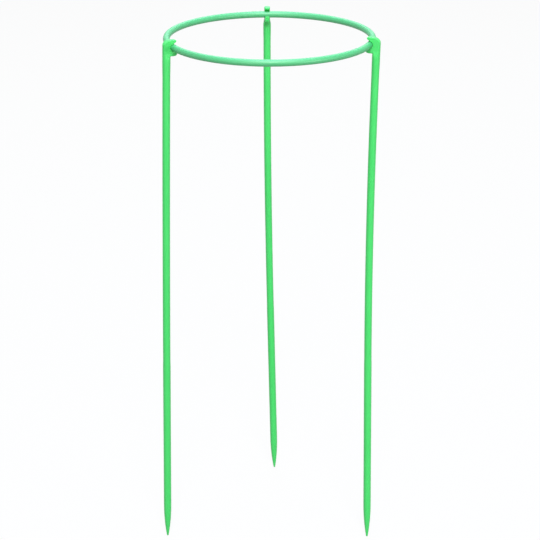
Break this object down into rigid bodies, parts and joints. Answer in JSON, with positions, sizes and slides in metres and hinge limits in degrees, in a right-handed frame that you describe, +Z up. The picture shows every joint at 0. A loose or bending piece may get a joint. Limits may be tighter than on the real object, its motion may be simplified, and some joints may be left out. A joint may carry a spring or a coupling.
{
  "type": "plant support ring",
  "caption": "Green plastic plant support: a closed round-rod ring held up by pointed stakes with snap clips that grip and turn on the ring; stems grow up through it.",
  "frame": {"origin": "at the points' level, in the middle of the box round the part, under the ring", "axes": "+Z up along the ring's axis, -Y towards the wide gap between the two front stakes, +X to the right as seen through that gap"},
  "size_m": [0.1623, 0.1639, 0.4001],
  "materials": {
    "ring_plastic": "semi-gloss moulded plastic",
    "stake_plastic": "semi-gloss moulded plastic"
  },
  "bodies": {
    "ring": {"ring": "ring_plastic"},
    "left_stake": {"left_stake": "stake_plastic"},
    "right_stake": {"right_stake": "stake_plastic"},
    "back_stake": {"back_stake": "stake_plastic"}
  },
  "joints": [
    {"name": "left_swing", "type": "hinge", "parent": "ring", "child": "left_stake", "pos_m": [-0.06607, -0.03542, 0.39438], "axis": [-0.4035, 0.915, 0], "range_deg": [-10, 88]},
    {"name": "right_swing", "type": "hinge", "parent": "ring", "child": "right_stake", "pos_m": [0.07278, -0.02717, 0.39438], "axis": [-0.2924, -0.9563, 0], "range_deg": [-10, 88]},
    {"name": "back_swing", "type": "hinge", "parent": "ring", "child": "back_stake", "pos_m": [0.00001, 0.0687, 0.39438], "axis": [0.9997, 0.0244, 0], "range_deg": [-10, 88]}
  ]
}
